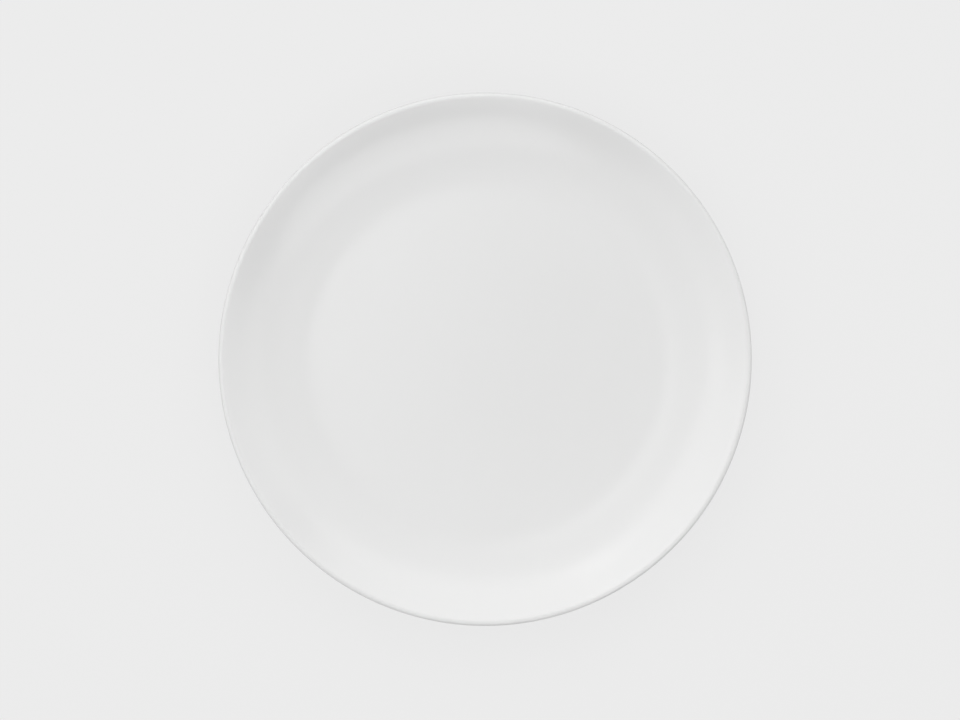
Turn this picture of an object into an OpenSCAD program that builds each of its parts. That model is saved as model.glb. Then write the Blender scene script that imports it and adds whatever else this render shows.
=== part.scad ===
// A rimless coupe dinner plate in glazed porcelain: a flat round well, a wall that
// curves up and out to a rounded lip, and a foot ring whose standing face is bare
// clay. Everything is turned about the Z axis, and the plate stands on z = 0.

/* [Plate] */
// Diameter across the lip
plate_d = 270; // [200:1:330]
// Width of the rising wall, seen from above, from the edge of the well to the lip
wall_w = 49; // [38:0.5:62]
// Width of the wall's straight outer part, seen from above
flare_w = 6; // [3:0.5:12]
// Slope of that straight part above the table, in degrees
flare_angle = 34; // [24:1:42]

/* [Clay] */
// Thickness of the fired clay where the wall leaves the floor
wall_t = 3.8; // [3:0.1:5]
// Thickness of the fired clay at the lip, which is a half round
lip_t = 3.4; // [2:0.1:3.6]
// Thickness of the fired clay in the floor, inside the foot ring
base_t = 4.6; // [3.6:0.1:6]

/* [Foot ring] */
// Depth of the recess inside the foot ring, above the table
foot_h = 3; // [2.4:0.1:4]
// Distance from the edge of the well in to the middle of the foot ring
foot_inset = 9; // [7:0.5:20]
// Width of the flat standing face
face_w = 2.4; // [1.5:0.1:4]
// Radius that rounds both edges of the standing face
foot_round = 0.8; // [0.5:0.05:1]
// Lean of the ring's outer side from upright, in degrees
outer_draft = 15; // [5:1:25]
// Lean of the ring's inner side from upright, in degrees
inner_draft = 25; // [10:1:35]
// Radius of the fillet where the outer side meets the wall
outer_fillet = 2; // [1:0.1:2.5]
// Radius of the fillet where the inner side meets the floor
inner_fillet = 1.6; // [1:0.1:2]

/* [Glaze] */
// Thickness of the fired glaze
glaze_t = 0.25; // [0.15:0.05:0.4]
// Height above the table at which the glaze ends on the foot ring
bare_h = 1; // [0.8:0.05:1.2]

/* [Hidden] */
$fn = 180;

// Largest gap between an arc and the chords that draw it
arc_gap = 0.01;

// Heights and radii of the clay, without its glaze
floor_z = foot_h + base_t;
under_z = floor_z - wall_t;
well_r = plate_d / 2 - wall_w;
foot_r = well_r - foot_inset;
lip_round = lip_t / 2;
lip_r = plate_d / 2 - glaze_t - lip_round;

// The face rises from the flat well in an arc and goes on straight up to the lip
flare_end_r = lip_r - lip_round * sin(flare_angle);
face_round = (flare_end_r - flare_w - well_r) / sin(flare_angle);
face_centre = [well_r, floor_z + face_round];
flare_end_z = floor_z + face_round * (1 - cos(flare_angle)) + flare_w * tan(flare_angle);
lip_centre = [lip_r, flare_end_z - lip_round * cos(flare_angle)];

// The outside is one arc, level under the edge of the well and touching the lip's half
// round from outside, so that the wall thins towards the lip
lip_run = lip_centre.x - well_r;
lip_rise = lip_centre.y - under_z;
under_round = (pow(lip_run, 2) + pow(lip_rise, 2) - pow(lip_round, 2)) / 2 / (lip_rise - lip_round);
under_centre = [well_r, under_z + under_round];
under_end = atan2(lip_centre.y - under_centre.y, lip_run);

// Points of an arc from one angle to another, mirrored left to right where side is -1
function arc(centre, radius, from, to, side = 1) =
    let (step = 2 * acos(1 - arc_gap / radius),
         count = ceil(abs(to - from) / step))
    [for (i = [0:count])
        let (a = from + (to - from) * i / count)
        centre + radius * [side * cos(a), sin(a)]];

function reversed(points) = [for (i = [len(points) - 1:-1:0]) points[i]];

// One side of the foot ring, outset by skin, from the surface that it hangs from at root_z
// down to where the glaze ends. side is 1 for the outer side and -1 for the inner one.
function foot_side(side, root_z, draft, fillet, skin) =
    let (edge = foot_r + side * face_w / 2,
         fillet_z = root_z - fillet,
         fillet_reach = (fillet + foot_round + (fillet_z - foot_round) * sin(draft)) / cos(draft),
         end_z = bare_h + skin,
         outset = foot_round + skin,
         run_up = (end_z - foot_round + outset * sin(draft)) / cos(draft),
         end_reach = outset * cos(draft) + run_up * sin(draft))
    concat(arc([edge + side * fillet_reach, fillet_z], fillet - skin, 90, 180 - draft, side),
           [[edge + side * end_reach, end_z]]);

// The face, the lip and the outside, outset by skin: from the axis out over the lip,
// and back in under the wall to the outer side of the foot ring
function outer_skin(skin) =
    concat([[0, floor_z + skin]],
           arc(face_centre, face_round - skin, -90, flare_angle - 90),
           arc(lip_centre, lip_round + skin, 90 + flare_angle, under_end),
           arc(under_centre, under_round + skin, under_end, -90),
           foot_side(1, under_z, outer_draft, outer_fillet, skin));

// The recess inside the foot ring, outset by skin, from the axis out
function base_skin(skin) =
    concat([[0, foot_h - skin]],
           foot_side(-1, foot_h, inner_draft, inner_fillet, skin));

// The bare tip of the foot ring, from its outer side round to its inner side
function foot_tip() =
    concat(arc([foot_r + face_w / 2, foot_round], foot_round, -outer_draft, -90),
           arc([foot_r - face_w / 2, foot_round], foot_round, -90, -inner_draft, -1));

module turned(outline) {
    rotate_extrude() polygon(outline);
}

// The fired clay, one piece with its foot ring
module porcelain_body() {
    color("linen")
        turned(concat(outer_skin(0), foot_tip(), reversed(base_skin(0))));
}

// One unbroken coat over the face, the lip and the outside, down to the bare foot
module outer_glaze() {
    color("white")
        turned(concat(outer_skin(glaze_t), reversed(outer_skin(0))));
}

// The coat in the recess, cut off from the outer coat by the bare foot
module base_glaze() {
    color("whitesmoke")
        turned(concat(base_skin(glaze_t), reversed(base_skin(0))));
}

porcelain_body();
outer_glaze();
base_glaze();
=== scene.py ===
# A rimless coupe dinner plate in glazed white porcelain, seen from straight above.
# Lengths are metres in the CAD frame: Z is the plate's axis and the table is z = 0.
import math

import bmesh
import bpy
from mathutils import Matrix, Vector


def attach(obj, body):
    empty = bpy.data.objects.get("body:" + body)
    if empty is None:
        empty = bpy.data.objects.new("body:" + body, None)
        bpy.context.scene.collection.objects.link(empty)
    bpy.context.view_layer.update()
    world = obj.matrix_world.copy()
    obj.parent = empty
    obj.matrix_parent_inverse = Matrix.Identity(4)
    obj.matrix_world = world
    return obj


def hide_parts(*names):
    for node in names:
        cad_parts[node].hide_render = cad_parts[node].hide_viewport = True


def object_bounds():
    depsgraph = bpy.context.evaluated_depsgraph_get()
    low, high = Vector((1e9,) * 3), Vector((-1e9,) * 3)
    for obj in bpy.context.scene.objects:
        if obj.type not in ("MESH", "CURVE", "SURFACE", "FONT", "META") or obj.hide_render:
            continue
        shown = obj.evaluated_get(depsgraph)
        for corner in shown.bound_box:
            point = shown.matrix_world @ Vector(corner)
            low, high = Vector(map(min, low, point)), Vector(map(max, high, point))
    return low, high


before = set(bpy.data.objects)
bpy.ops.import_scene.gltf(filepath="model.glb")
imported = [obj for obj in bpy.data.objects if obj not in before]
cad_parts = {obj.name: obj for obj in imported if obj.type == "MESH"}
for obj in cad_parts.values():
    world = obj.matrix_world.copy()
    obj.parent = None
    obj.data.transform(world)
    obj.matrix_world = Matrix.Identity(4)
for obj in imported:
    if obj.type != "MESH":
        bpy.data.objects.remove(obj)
cad_low, cad_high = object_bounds()

MM = 0.001

# The plate's own sizes, as in the CAD source; its radius comes from the frame
PLATE_R = cad_high.x
WALL_W = 49 * MM
FLARE_W = 6 * MM
FLARE_ANGLE = math.radians(34)
WALL_T = 3.8 * MM
LIP_T = 3.4 * MM
BASE_T = 4.6 * MM
FOOT_H = 3 * MM
FOOT_INSET = 9 * MM
FACE_W = 2.4 * MM
FOOT_ROUND = 0.8 * MM
OUTER_DRAFT = math.radians(15)
INNER_DRAFT = math.radians(25)
OUTER_FILLET = 2 * MM
INNER_FILLET = 1.6 * MM
GLAZE_T = 0.25 * MM
BARE_H = 1 * MM

# How finely the turned surfaces are drawn
TURN_STEPS = 384
ARC_STEP = math.radians(2.5)
SMALL_ARC_STEP = math.radians(9)
FLAT_STEP = 4 * MM
# A point nearer to the axis than this lies on it
ON_AXIS = 1e-9
# Edges that bend more than this look sharp
SHARP_ANGLE = math.radians(40)

# Directions in an outline's plane, whose points are (r, z)
UP = math.pi / 2
DOWN = -math.pi / 2

# Heights and radii that follow from the sizes
FLOOR_Z = FOOT_H + BASE_T
UNDER_Z = FLOOR_Z - WALL_T
WELL_R = PLATE_R - WALL_W
FOOT_R = WELL_R - FOOT_INSET
LIP_ROUND = LIP_T / 2
LIP_R = PLATE_R - GLAZE_T - LIP_ROUND
FLARE_END_R = LIP_R - LIP_ROUND * math.sin(FLARE_ANGLE)
FACE_ROUND = (FLARE_END_R - FLARE_W - WELL_R) / math.sin(FLARE_ANGLE)
FACE_CENTRE = (WELL_R, FLOOR_Z + FACE_ROUND)
FLARE_END_Z = FLOOR_Z + FACE_ROUND * (1 - math.cos(FLARE_ANGLE)) + FLARE_W * math.tan(FLARE_ANGLE)
LIP_CENTRE = (LIP_R, FLARE_END_Z - LIP_ROUND * math.cos(FLARE_ANGLE))

# The outside is one arc, level under the edge of the well and touching the lip's half round
LIP_RUN = LIP_CENTRE[0] - WELL_R
LIP_RISE = LIP_CENTRE[1] - UNDER_Z
UNDER_ROUND = (LIP_RUN**2 + LIP_RISE**2 - LIP_ROUND**2) / 2 / (LIP_RISE - LIP_ROUND)
UNDER_CENTRE = (WELL_R, UNDER_Z + UNDER_ROUND)
UNDER_END = math.atan2(LIP_CENTRE[1] - UNDER_CENTRE[1], LIP_RUN)


def link(name, data):
    """A new object in the scene, with this data."""
    thing = bpy.data.objects.new(name, data)
    bpy.context.scene.collection.objects.link(thing)
    return thing


def arc(centre, radius, start, end, side=1, step=ARC_STEP):
    """Points (r, z) of an arc, mirrored left to right where side is -1."""
    count = math.ceil(abs(end - start) / step)
    angles = [start + (end - start) * i / count for i in range(count + 1)]
    r, z = centre
    return [(r + radius * side * math.cos(a), z + radius * math.sin(a)) for a in angles]


def small_arc(centre, radius, start, end, side=1):
    """An arc of a few millimetres, which needs fewer points."""
    return arc(centre, radius, start, end, side, SMALL_ARC_STEP)


def flat(end, z):
    """Points (r, z) from the axis out to the radius end at one height, without the last."""
    count = round(end / FLAT_STEP)
    return [(end * i / count, z) for i in range(count)]


def foot_side(side, root_z, draft, fillet, skin):
    """One side of the foot ring, outset by skin, from its root down to where the glaze ends.

    side is 1 for the outer side and -1 for the inner one.
    """
    edge = FOOT_R + side * FACE_W / 2
    fillet_z = root_z - fillet
    reach = (fillet + FOOT_ROUND + (fillet_z - FOOT_ROUND) * math.sin(draft)) / math.cos(draft)
    outset = FOOT_ROUND + skin
    run_up = (BARE_H + skin - FOOT_ROUND + outset * math.sin(draft)) / math.cos(draft)
    end_reach = outset * math.cos(draft) + run_up * math.sin(draft)
    curve = small_arc((edge + side * reach, fillet_z), fillet - skin, UP, math.pi - draft, side)
    return curve + [(edge + side * end_reach, BARE_H + skin)]


def outer_skin(skin):
    """The face, the lip and the outside, outset by skin, from the axis out and back in."""
    face = arc(FACE_CENTRE, FACE_ROUND - skin, DOWN, FLARE_ANGLE + DOWN)
    lip = small_arc(LIP_CENTRE, LIP_ROUND + skin, UP + FLARE_ANGLE, UNDER_END)
    outside = arc(UNDER_CENTRE, UNDER_ROUND + skin, UNDER_END, DOWN)
    foot = foot_side(1, UNDER_Z, OUTER_DRAFT, OUTER_FILLET, skin)
    # The lip ends where the outside begins, so that point is taken once
    return flat(WELL_R, FLOOR_Z + skin) + face + lip[:-1] + outside + foot


def base_skin(skin):
    """The recess inside the foot ring, outset by skin, from the axis out."""
    foot = foot_side(-1, FOOT_H, INNER_DRAFT, INNER_FILLET, skin)
    recess_r = foot[0][0]
    return flat(recess_r, FOOT_H - skin) + foot


def foot_tip():
    """The bare tip of the foot ring, from its outer side round to its inner side."""
    outer = small_arc((FOOT_R + FACE_W / 2, FOOT_ROUND), FOOT_ROUND, -OUTER_DRAFT, DOWN)
    inner = small_arc((FOOT_R - FACE_W / 2, FOOT_ROUND), FOOT_ROUND, DOWN, -INNER_DRAFT, -1)
    return outer + inner


def turned(name, outline):
    """A smooth-shaded solid of revolution, from an outline that starts and ends on the axis."""
    shape = bmesh.new()
    angles = [2 * math.pi * i / TURN_STEPS for i in range(TURN_STEPS)]
    rings = []
    for r, z in outline:
        if r < ON_AXIS:
            rings.append([shape.verts.new((0, 0, z))])
        else:
            rings.append([shape.verts.new((r * math.cos(a), r * math.sin(a), z)) for a in angles])
    for near, far in zip(rings, rings[1:]):
        for i in range(TURN_STEPS):
            j = (i + 1) % TURN_STEPS
            corners = (near[i % len(near)], near[j % len(near)], far[j % len(far)], far[i % len(far)])
            # A ring on the axis is one point, which a face takes once
            shape.faces.new(list(dict.fromkeys(corners)))
    bmesh.ops.recalc_face_normals(shape, faces=shape.faces)
    for face in shape.faces:
        face.smooth = True
    mesh = bpy.data.meshes.new(name)
    shape.to_mesh(mesh)
    shape.free()
    mesh.set_sharp_from_angle(angle=SHARP_ANGLE)
    return link(name, mesh)


def glaze_coat():
    """One unbroken coat over the face, the lip and the outside, down to the bare foot."""
    return turned("glaze_coat", outer_skin(GLAZE_T) + outer_skin(0)[::-1])


def glaze_base_coat():
    """The coat in the recess, cut off from the outer coat by the bare foot."""
    return turned("glaze_base_coat", base_skin(GLAZE_T) + base_skin(0)[::-1])


def clay_body():
    """The fired clay, one piece with its foot ring."""
    return turned("clay_body", outer_skin(0) + foot_tip() + base_skin(0)[::-1])


# Places of a colour mix's two colours and its result, whose names repeat for each data type
MIX_A = 6
MIX_B = 7
MIX_RESULT = 2


class Nodes:
    """Short ways to add shader nodes to one material or world and join them."""

    def __init__(self, owner):
        owner.use_nodes = True
        self.tree = owner.node_tree
        self.tree.nodes.clear()

    def put(self, node, key, value):
        """Set one input, by name or place, to a value or to another node's output."""
        socket = node.inputs[key]
        if isinstance(value, bpy.types.NodeSocket):
            self.tree.links.new(value, socket)
        else:
            socket.default_value = value

    def add(self, kind, *values, settings=None, **inputs):
        """A new node, with values put in by their order, and inputs by name with _ for a space."""
        node = self.tree.nodes.new(kind)
        for key, value in (settings or {}).items():
            setattr(node, key, value)
        for place, value in enumerate(values):
            self.put(node, place, value)
        for key, value in inputs.items():
            self.put(node, key.replace("_", " "), value)
        return node

    def noise(self, place, scale, detail=2.0):
        return self.add("ShaderNodeTexNoise", Vector=place, Scale=scale, Detail=detail).outputs["Fac"]

    def span(self, value, low, high, from_low=0.0, from_high=1.0, curve="LINEAR"):
        """low up to from_low, high from from_high on, and a line or other curve between them."""
        settings = {"interpolation_type": curve}
        node = self.add("ShaderNodeMapRange", value, from_low, from_high, low, high, settings=settings)
        return node.outputs["Result"]

    def maths(self, operation, a, b, kind="ShaderNodeMath"):
        return self.add(kind, a, b, settings={"operation": operation}).outputs["Value"]

    def vector_maths(self, operation, a, b):
        """A dot product or distance, which is one number."""
        return self.maths(operation, a, b, "ShaderNodeVectorMath")

    def mix_colour(self, share, a, b):
        node = self.add("ShaderNodeMix", share, settings={"data_type": "RGBA"})
        self.put(node, MIX_A, a)
        self.put(node, MIX_B, b)
        return node.outputs[MIX_RESULT]

    def bump(self, pattern, height, **under):
        """Raise the surface by a pattern, over the bump that Normal gives if there is one."""
        return self.add("ShaderNodeBump", Height=pattern, Distance=height, **under).outputs["Normal"]

    def seen(self):
        """1 for a camera ray and for what gloss and glass show, and 0 for light on a surface."""
        path = self.add("ShaderNodeLightPath").outputs
        seen = self.maths("ADD", path["Is Camera Ray"], path["Is Glossy Ray"])
        return self.maths("MINIMUM", self.maths("ADD", seen, path["Is Transmission Ray"]), 1.0)


# Noise values between which a pattern goes from its one end to the other
NOISE_SPAN = (0.3, 0.7)

# The glaze's colour, the one where it is thin, and how far its clouds go towards that
GLAZE_COLOUR = (0.800, 0.801, 0.799, 1)
GLAZE_THIN_COLOUR = (0.765, 0.760, 0.750, 1)
CLOUD_SHARE = 0.10
GLAZE_ROUGHNESS = (0.20, 0.24)
GLAZE_IOR = 1.5
# Scales of its patterns, in repeats per metre, and heights of its waves
CLOUD_SCALE = 22.0
GLOSS_SCALE = 60.0
SWAY_SCALE = 14.0
SWAY_HEIGHT = 0.06 * MM
PEEL_SCALE = 260.0
PEEL_HEIGHT = 0.002 * MM


def glaze_material():
    """Glossy white glaze, faintly cloudy, with the slow waves and fine peel of a fired coat."""
    material = bpy.data.materials.new("porcelain_glaze")
    n = Nodes(material)
    place = n.add("ShaderNodeTexCoord").outputs["Object"]
    clouds = n.span(n.noise(place, CLOUD_SCALE, detail=3.0), 0.0, CLOUD_SHARE, *NOISE_SPAN)
    colour = n.mix_colour(clouds, GLAZE_COLOUR, GLAZE_THIN_COLOUR)
    roughness = n.span(n.noise(place, GLOSS_SCALE, detail=3.0), *GLAZE_ROUGHNESS, *NOISE_SPAN)
    sway = n.bump(n.noise(place, SWAY_SCALE, detail=1.0), SWAY_HEIGHT)
    peel = n.bump(n.noise(place, PEEL_SCALE, detail=1.0), PEEL_HEIGHT, Normal=sway)
    shader = n.add(
        "ShaderNodeBsdfPrincipled", Base_Color=colour, Roughness=roughness, IOR=GLAZE_IOR, Normal=peel
    )
    n.add("ShaderNodeOutputMaterial", Surface=shader.outputs["BSDF"])
    return material


# The bare clay's colour, that of its specks, and the noise values where a speck starts and is full
CLAY_COLOUR = (0.74, 0.715, 0.68, 1)
CLAY_SPECK_COLOUR = (0.62, 0.58, 0.53, 1)
SPECK_SPAN = (0.60, 0.72)
CLAY_ROUGHNESS = (0.75, 0.92)
# Scales of its patterns, in repeats per metre, and the height of its grain
SPECK_SCALE = 1400.0
CLAY_GLOSS_SCALE = 300.0
GRAIN_SCALE = 2600.0
GRAIN_HEIGHT = 0.03 * MM


def clay_material():
    """Bare fired clay: matte, a little warmer than the glaze, with specks and a fine grain."""
    material = bpy.data.materials.new("bare_porcelain")
    n = Nodes(material)
    place = n.add("ShaderNodeTexCoord").outputs["Object"]
    specks = n.span(n.noise(place, SPECK_SCALE), 0.0, 1.0, *SPECK_SPAN)
    colour = n.mix_colour(specks, CLAY_COLOUR, CLAY_SPECK_COLOUR)
    roughness = n.span(n.noise(place, CLAY_GLOSS_SCALE), *CLAY_ROUGHNESS)
    grain = n.bump(n.noise(place, GRAIN_SCALE, detail=3.0), GRAIN_HEIGHT)
    shader = n.add("ShaderNodeBsdfPrincipled", Base_Color=colour, Roughness=roughness, Normal=grain)
    n.add("ShaderNodeOutputMaterial", Surface=shader.outputs["BSDF"])
    return material


def make_plate():
    """The three pieces, each in place of its CAD solid. Nothing moves, so all ride on the root."""
    glaze = glaze_material()
    for piece, node, material, slot in (
        (glaze_coat(), "outer_glaze", glaze, "glaze"),
        (glaze_base_coat(), "base_glaze", glaze, "glaze"),
        (clay_body(), "porcelain_body", clay_material(), "bisque"),
    ):
        piece.data.materials.append(material)
        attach(piece, "root")
        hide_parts(node)


# The even tone of the room for the camera and in reflections, and of the panel, where 1 is white
BACKDROP = 0.8308
# The floor's own even tone, its share in what the camera sees, and the colour that light falls on
FLOOR_TONE = 0.925
FLOOR_PLAIN_SHARE = 0.82
FLOOR_COLOUR = (0.45, 0.45, 0.45, 1)
FLOOR_SIZE = 12.0


def make_floor():
    """A plain pale floor, for the camera mostly one even tone, so the plate's shadow is faint."""
    material = bpy.data.materials.new("floor")
    n = Nodes(material)
    lit = n.add("ShaderNodeBsdfDiffuse", Color=FLOOR_COLOUR)
    plain = n.add("ShaderNodeEmission", Strength=FLOOR_TONE)
    share = n.maths("MULTIPLY", n.seen(), FLOOR_PLAIN_SHARE)
    mixed = n.add("ShaderNodeMixShader", share, lit.outputs["BSDF"], plain.outputs["Emission"])
    n.add("ShaderNodeOutputMaterial", Surface=mixed.outputs["Shader"])
    mesh = bpy.data.meshes.new("floor")
    half = FLOOR_SIZE / 2
    corners = [(-half, -half, 0), (half, -half, 0), (half, half, 0), (-half, half, 0)]
    mesh.from_pydata(corners, [], [(0, 1, 2, 3)])
    mesh.materials.append(material)
    link("floor", mesh)


# The room's light on surfaces: from above, and from the horizon on the side that faces LIT_SIDE
ROOM_TOP = 0.38
ROOM_SIDE = 1.1
LIT_SIDE = math.radians(112)
# Cosines of the angle to the lit side, from no light to all of it
SIDE_SPAN = (-0.7, 0.7)
# Heights on the unit sphere, from the horizon's light to the light from above
HEIGHT_SPAN = (0.05, 0.40)
WHITE = (1, 1, 1, 1)


def make_world():
    """One even tone for the camera and reflections, and soft light from above and one side."""
    world = bpy.data.worlds.new("room")
    bpy.context.scene.world = world
    n = Nodes(world)
    outward = n.add("ShaderNodeTexCoord").outputs["Generated"]
    lit_side = (math.cos(LIT_SIDE), math.sin(LIT_SIDE), 0)
    horizon = n.span(n.vector_maths("DOT_PRODUCT", outward, lit_side), 0.0, ROOM_SIDE, *SIDE_SPAN)
    height = n.add("ShaderNodeSeparateXYZ", Vector=outward).outputs["Z"]
    light = n.span(height, horizon, ROOM_TOP, *HEIGHT_SPAN)
    strength = n.span(n.seen(), light, BACKDROP)
    back = n.add("ShaderNodeBackground", Color=WHITE, Strength=strength)
    n.add("ShaderNodeOutputWorld", Surface=back.outputs["Background"])


# Distance of the soft boxes from the plate's centre
BOX_DISTANCE = 1.7
# Brightness of each soft box, which is its power over its area and pi
KEY_GLOW = 1.18
SIDE_GLOW = 1.23
FILL_GLOW = 1.45
RIGHT_GLOW = 0.9
LEFT_GLOW = 0.82


def softbox(name, azimuth, elevation, width, height, glow):
    """A rectangular soft light that faces the plate's centre. Its two angles are in degrees."""
    lamp = bpy.data.lights.new(name, "AREA")
    lamp.shape = "RECTANGLE"
    lamp.size = width
    lamp.size_y = height
    lamp.energy = glow * math.pi * width * height
    a = math.radians(azimuth)
    e = math.radians(elevation)
    away = Vector((math.cos(a) * math.cos(e), math.sin(a) * math.cos(e), math.sin(e)))
    holder = link(name, lamp)
    holder.location = away * BOX_DISTANCE
    holder.rotation_euler = (-away).to_track_quat("-Z", "Y").to_euler()
    holder.visible_camera = False


def make_lights():
    """Soft boxes all round, the strongest of them at the front, the back and the back left."""
    softbox("key", azimuth=84, elevation=38, width=1.9, height=1.1, glow=KEY_GLOW)
    softbox("side", azimuth=148, elevation=38, width=1.6, height=1.1, glow=SIDE_GLOW)
    softbox("fill", azimuth=290, elevation=50, width=1.8, height=0.8, glow=FILL_GLOW)
    softbox("right", azimuth=10, elevation=35, width=1.2, height=1.1, glow=RIGHT_GLOW)
    softbox("left", azimuth=205, elevation=35, width=1.2, height=1.1, glow=LEFT_GLOW)


# The overhead panel, round and centred on the plate's axis
PANEL_Z = 1.25
PANEL_R = 0.45
PANEL_SIDES = 96
# Its soft bright patch, which the well mirrors as a pale band
PATCH_TONE = 2.0
PATCH_CENTRE = (-0.105, 0.095, 0)
PATCH_REACH = 0.20
# Its soft dark patch, which the well mirrors as a darker middle
SHADE_TONE = 0.0
SHADE_CENTRE = (0.085, 0.005, 0)
SHADE_REACH = 0.21
# Share of a patch's reach inside which it is full
PATCH_CORE = 0.35


def soft_patch(n, centre, reach):
    """1 in the core of a round patch on the panel, falling softly to 0 at its reach."""
    place = n.add("ShaderNodeTexCoord").outputs["Object"]
    gap = n.vector_maths("DISTANCE", place, centre)
    return n.span(gap, 1.0, 0.0, PATCH_CORE * reach, reach, "SMOOTHSTEP")


def make_panel():
    """A glowing panel just above the camera, which lights the plate and mirrors in its glaze."""
    material = bpy.data.materials.new("panel")
    n = Nodes(material)
    lit = n.span(soft_patch(n, PATCH_CENTRE, PATCH_REACH), BACKDROP, PATCH_TONE)
    tone = n.span(soft_patch(n, SHADE_CENTRE, SHADE_REACH), lit, SHADE_TONE)
    glow = n.add("ShaderNodeEmission", Strength=tone)
    n.add("ShaderNodeOutputMaterial", Surface=glow.outputs["Emission"])
    shape = bmesh.new()
    bmesh.ops.create_circle(shape, cap_ends=True, segments=PANEL_SIDES, radius=PANEL_R)
    mesh = bpy.data.meshes.new("panel")
    shape.to_mesh(mesh)
    shape.free()
    mesh.materials.append(material)
    panel = link("panel", mesh)
    panel.location.z = PANEL_Z
    panel.visible_camera = False


# The photo's framing: the plate's centre and radius in a picture 960 pixels wide
PIXELS_WIDE = 960
PIXELS_HIGH = 720
PLATE_CENTRE_PX = (485.1, 359.2)
PLATE_RADIUS_PX = 266.7
LENS_MM = 85
SENSOR_MM = 36


def make_camera():
    """Straight above the plate, at the height that gives the lip its size in the photo."""
    camera = bpy.data.cameras.new("camera")
    camera.lens = LENS_MM
    camera.sensor_width = SENSOR_MM
    px_per_m = PLATE_RADIUS_PX / PLATE_R
    above_lip = LENS_MM / SENSOR_MM * PIXELS_WIDE / px_per_m
    x = (PIXELS_WIDE / 2 - PLATE_CENTRE_PX[0]) / px_per_m
    y = (PLATE_CENTRE_PX[1] - PIXELS_HIGH / 2) / px_per_m
    holder = link("camera", camera)
    holder.location = (x, y, LIP_CENTRE[1] + above_lip)
    bpy.context.scene.camera = holder


make_plate()
make_floor()
make_world()
make_lights()
make_panel()
make_camera()
bpy.context.scene.view_settings.view_transform = "Standard"
